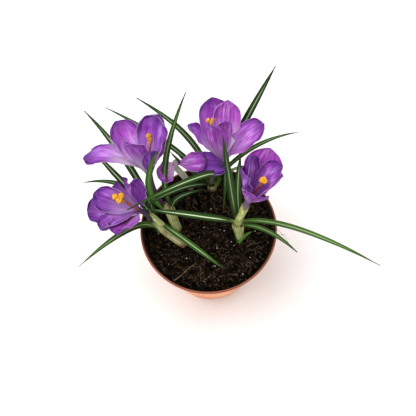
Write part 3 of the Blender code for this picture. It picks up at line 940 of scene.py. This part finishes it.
def stemPiece(letter, finish):
    foot, knee, throat = (Vector(p) for p in flower["rows"][letter][:3])
    axis = flowerTurn(letter) @ up
    end = throat + axis * 0.6
    neck = throat - axis * (throat - foot).length / 4
    line = curveLine([foot - (knee - foot).normalized() * 3, knee, neck, end])

    def radius(s, angle):
        flared = flower["tubeRadii"][letter] + 0.35 * bend01(0.75, 1, s)
        return flared + 0.12 * math.sin(angle * 3 + s * 4) - 0.2 * bend01(0.2, 0, s)
    piece = tubePiece("stem" + letter.upper(), 40, 20, line, radius)
    paint(piece, finish)
    smooth(piece, 60)
    return piece


def frillyLump(centre, radius, seed):
    # a ball with a deeply frilled skin
    def place(s, v):
        theta, phi = math.pi * s, math.pi * v
        way = Vector((math.sin(theta) * math.cos(phi), math.sin(theta) * math.sin(phi), math.cos(theta)))
        frill = noise.noise(way * 2.6 + Vector((seed, 0, 0))) * 0.40
        frill += noise.noise(way * 6 + Vector((0, seed, 0))) * 0.25
        return centre + way * radius * (1 + frill)
    piece = sheetPiece("lobe", 28, 28, place)
    weld(piece)
    return piece


def stigmaPiece(letter, silk):
    reach, lobes = flower["stigmas"][letter]
    throat = Vector(flower["rows"][letter][2])
    head = throat + Vector(reach)
    axis = Vector(reach).normalized()
    style = curveLine([throat + axis * 0.8, (throat + head) / 2 - up * 0.8, head])
    parts = [tubePiece("style", 14, 10, style, lambda s, angle: 0.42 + 0.35 * s)]
    for index, (offset, radius) in enumerate(lobes):
        parts.append(frillyLump(head + Vector(offset), radius, ord(letter) + index * 3.7))
    piece = joinPieces("stigma" + letter.upper(), parts)
    tone(piece, headHeight=head.z * mm)
    paint(piece, silk)
    smooth(piece, 60)
    return piece


def stigmaFinish():
    gold = Finish("stigmaOrange", Roughness=0.7, Subsurface_Weight=0.1, Subsurface_Scale=0.001)
    grains = gold.cloud(gold.place(), 1800.0, 3.0)
    below = gold.number("headHeight") / mm - gold.height()
    colour = gold.mix((0.72, 0.24, 0.004), (0.98, 0.62, 0.03), grains.step(0.38, 0.62))
    colour = gold.mix(colour, (0.50, 0.10, 0.005), below.step(1.5, 6.0))      # the style is deeper orange
    gold.bump(grains, 0.6, 0.0004)
    return gold.done(Base_Color=colour)


def buildFlowers():
    inside = petalFinish("petalFace", False)
    outside = petalFinish("petalBack", True)
    tubeSkins = {}
    for name, (letters, *settings) in flower["tubes"].items():
        tubeSkins.update(dict.fromkeys(letters, tubeFinish(name, *settings)))
    gold = stigmaFinish()
    for letter, rows in flower["petals"].items():
        stem = stemPiece(letter, tubeSkins[letter])
        settle(stem, "stem_pale" if letter == "e" else "stem", "stem_" + letter)
        for index, row in enumerate(rows):
            piece = petalPiece("petal%s%d" % (letter.upper(), index + 1), letter, row,
                               ord(letter) * 10 + index, inside, outside)
            settle(piece, "petal", "petal_%s_%d" % (letter, index + 1))
        if letter in flower["stigmas"]:
            settle(stigmaPiece(letter, gold), "stigma", "stigma_" + letter)
    print("flowers done")


corm = {
    # node: the corm's foot, radius and height, then its sheaths:
    # low end, middle and ragged top, radius at each, how green (0 brown, 1 green)
    "rows": {
        "corm_left": ((-22, -1, 44), 11.0, 15.0,
                      [((-20, 3, 54), (-23.4, 2.2, 74), (-28, 12.5, 94), 3.2, 3.3, 3.8, 0.8),
                       ((-20, -4, 54), (-19, -7, 64), (-17, -11.5, 72), 4.0, 3.8, 3.5, 0.1),
                       ((-16.5, -12, 68.5), (-21.5, -9, 72.5), (-35, 0, 82), 2.0, 3.3, 3.4, 0.4)]),
        "corm_right": ((20, -8, 44), 10.5, 15.0,
                       [((20, -11, 54), (22.2, -10, 70), (20.8, -3, 88), 2.8, 2.4, 4.4, 0.8)]),
        "corm_back": ((-1, 27, 44), 11.0, 15.0,
                      [((2, 31, 54), (4, 33, 66), (5, 34.5, 78), 3.6, 3.5, 3.3, 0.6),
                       ((-8, 31, 54), (-11, 34, 66), (-14, 37, 78), 2.6, 2.4, 2.2, 0.5)]),
    },
    # thin sheaths that stand round a flower tube or a leaf base, given in the same way
    "spathes": {
        "spatheD": ((20.6, -4, 86), (22.0, -4.8, 99), (26.0, -1.4, 112.5), 2.7, 2.4, 2.7, 1.2),
        "bundleLeft": ((-24, -6.5, 71), (-31, -2, 78), (-42, 5.5, 89), 2.6, 3.6, 3.6, 1.3),
        "spatheB": ((-26.4, 8.4, 86), (-28.5, 9.5, 91), (-31, 11, 97), 2.4, 2.3, 2.5, 0.2),
    },
    # the forked green sprout beside the right clump, given as a leaf is
    "sprout": [((21.4, -13.8, 69.5), (21.0, -11, 76.5), (31, -8.0, 81), 3.4, 0.2, 0.6),
               ((21.2, -13.4, 69.5), (21.2, -10, 75), (17.6, -4.6, 82), 2.8, 0.2, 0.6)],
    "torn": 2.2,                   # how ragged a sheath's rim is
    "sheathThickness": 0.35,
}


def sheathFinish():
    husk = Finish("sheathPapery", Roughness=0.55, Specular_IOR_Level=0.35)
    s, v = husk.along()
    greenness = husk.number("greenness")
    lines = husk.cloud(husk.vector(s * 1.5, v * 26, greenness * 7), 1.0, 3.0)
    patch = husk.cloud(husk.place(), 210.0, 4.0, 0.6)
    fleck = husk.cloud(husk.place(), 700.0, 3.0)
    z = husk.height()
    pale = husk.mix((0.54, 0.43, 0.27), (0.46, 0.54, 0.14), greenness)
    deep = husk.mix((0.13, 0.065, 0.035), (0.16, 0.20, 0.06), greenness)
    colour = husk.mix(pale, (0.70, 0.67, 0.48), patch.step(0.45, 0.68) * 0.5)
    colour = husk.mix(colour, deep, lines.step(0.47, 0.60) * 0.75)
    colour = husk.mix(colour, deep, patch.step(0.46, 0.34) * 0.6)
    colour = husk.mix(colour, (0.20, 0.10, 0.06), fleck.step(0.62, 0.70) * 0.5)
    damp = (z + patch * 3).step(soil["edge"] + 6.4, soil["edge"] + 3.6)      # browner just over the peat
    colour = husk.mix(colour, (0.12, 0.035, 0.018), damp * 0.8)
    colour = husk.mix(colour, (0.15, 0.045, 0.020), (s + patch * 0.2).step(0.36, 0.14) * 0.85)
    colour = husk.mix(colour, (0.30, 0.18, 0.09), s.step(0.93, 0.99) * 0.6)
    husk.bump(lines + patch * 0.15, 0.6, 0.0006)
    return husk.done(Base_Color=colour, Roughness=0.45 + lines * 0.2)


def sheathTube(name, row, seed):
    # a thin open tube with a torn top
    low, middle, top, lowRadius, midRadius, topRadius, green = row
    knee = Vector(middle) * 2 - (Vector(low) + Vector(top)) / 2
    line = curveLine([low, knee, top])
    raggedness = corm["torn"] / (Vector(top) - Vector(low)).length

    def place(s, v):
        angle = math.pi * v
        rim = math.sin(angle * 2 + seed) * 0.5
        rim += ripple(math.cos(angle) * 2.2, math.sin(angle) * 2.2, seed) * 1.4
        along = s * (1 + raggedness * (rim - 0.6) * bend01(0.6, 1, s))
        centre, side, front = line(min(1.05, along))
        radius = lowRadius + (midRadius - lowRadius) * bend01(0, 0.5, s)
        radius += (topRadius - midRadius) * bend01(0.55, 1, s)
        radius *= 1 + 0.05 * math.sin(angle * 3 + seed) + 0.05 * ripple(s * 4, math.sin(angle) * 2, seed)
        return centre + (side * math.cos(angle) + front * math.sin(angle)) * radius
    piece = sheetPiece(name, 40, 40, place)
    weld(piece)
    applyModifier(piece, "SOLIDIFY", thickness=corm["sheathThickness"] * mm, offset=-1)
    tone(piece, greenness=green)
    return piece


def cormBody(foot, radius, height):
    # a squat bulb with shallow ribs
    base = Vector(foot)

    def swell(s, angle):
        fullness = math.sin(math.pi * min(0.97, max(0.03, s))) ** 0.8
        return max(0.3, radius * fullness * (1 + 0.02 * math.sin(angle * 14)))
    body = tubePiece("body", 20, 32, curveLine([base, base + up * height]), swell)
    tone(body, greenness=0)
    return body


def buildCorms():
    husk = sheathFinish()
    for number, (node, (foot, radius, height, sheaths)) in enumerate(corm["rows"].items()):
        parts = [cormBody(foot, radius, height)]
        for index, row in enumerate(sheaths):
            parts.append(sheathTube("sheath", row, number * 5 + index))
        piece = joinPieces("corm" + node.split("_")[1].title(), parts)
        paint(piece, husk)
        smooth(piece, 50)
        settle(piece, "sheath", node)
    for index, (name, row) in enumerate(corm["spathes"].items()):
        piece = sheathTube(name, row, 20 + index)
        paint(piece, husk)
        smooth(piece, 50)
        settle(piece, "sheath")
    top, under = leafFinish("sproutFace", True), leafFinish("sproutBack", True)
    for index, row in enumerate(corm["sprout"]):
        settle(leafPiece("sprout%d" % (index + 1), row, 60 + index, top, under), "leaf")
    print("corms done")


buildStudio()
buildPot()
buildSoil()
buildLitter()
buildCorms()
buildLeaves()
buildFlowers()
